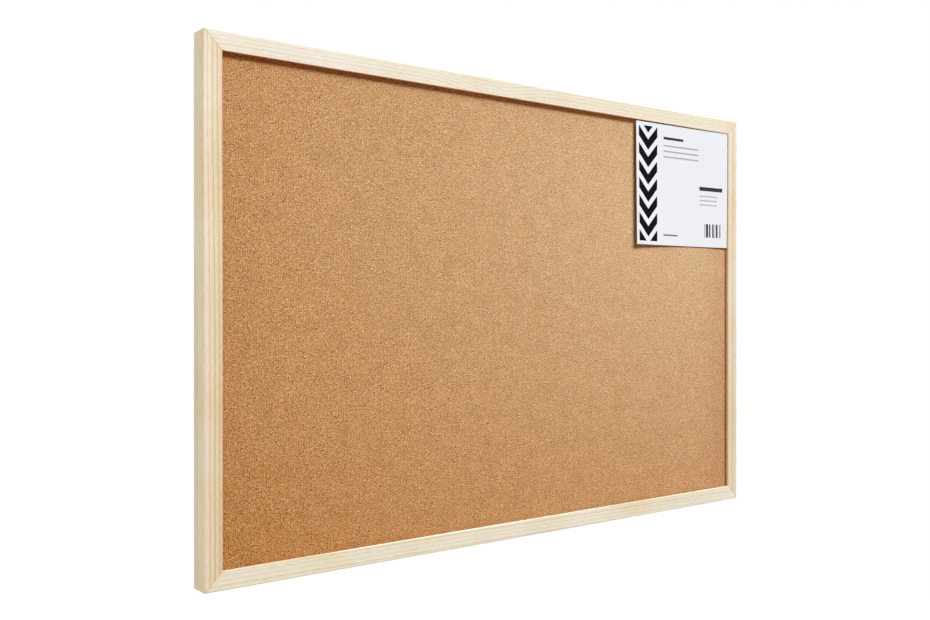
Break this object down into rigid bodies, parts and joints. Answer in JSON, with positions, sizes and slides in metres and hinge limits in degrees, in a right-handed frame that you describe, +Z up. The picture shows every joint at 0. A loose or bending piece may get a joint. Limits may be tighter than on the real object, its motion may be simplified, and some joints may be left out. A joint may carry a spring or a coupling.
{
  "type": "cork pin board",
  "caption": "Framed cork board for pins and badges: mitred pine moulding, cork on a softboard core, a loose insert card, and a swinging hanger ring on the back of each stile.",
  "frame": {"origin": "on the back face of the top rail, at the middle of its length and of its width", "axes": "+X to the right of someone facing the pin face, +Y out of the back into the wall, +Z up"},
  "size_m": [0.6, 0.0226, 0.4],
  "materials": {
    "pine": "matte",
    "cork": "matte",
    "softboard": "matte",
    "liner": "matte",
    "card": "satin",
    "steel": "satin",
    "zinc": "satin"
  },
  "bodies": {
    "board": {"top_rail": "pine", "bottom_rail": "pine", "left_stile": "pine", "right_stile": "pine", "cork_sheet": "cork", "core_board": "softboard", "back_liner": "liner", "nail_top_left_outer": "steel", "nail_top_left_inner": "steel", "nail_top_right_outer": "steel", "nail_top_right_inner": "steel", "nail_bottom_left_outer": "steel", "nail_bottom_left_inner": "steel", "nail_bottom_right_outer": "steel", "nail_bottom_right_inner": "steel", "left_hanger_strap": "zinc", "left_hanger_screw_upper": "zinc", "left_hanger_screw_lower": "zinc", "right_hanger_strap": "zinc", "right_hanger_screw_upper": "zinc", "right_hanger_screw_lower": "zinc"},
    "left_ring": {"left_hanger_ring": "zinc"},
    "right_ring": {"right_hanger_ring": "zinc"},
    "card": {"label_card": "card"}
  },
  "joints": [
    {"name": "left_ring_swing", "type": "hinge", "parent": "board", "child": "left_ring", "pos_m": [-0.2916, 0.00225, -0.033], "axis": [1, 0, 0], "range_deg": [0, 180]},
    {"name": "right_ring_swing", "type": "hinge", "parent": "board", "child": "right_ring", "pos_m": [0.2916, 0.00225, -0.033], "axis": [1, 0, 0], "range_deg": [0, 180]},
    {"name": "card_lift_out", "type": "slide", "parent": "board", "child": "card", "axis": [0, -1, 0], "range_m": [0, 0.05]}
  ]
}
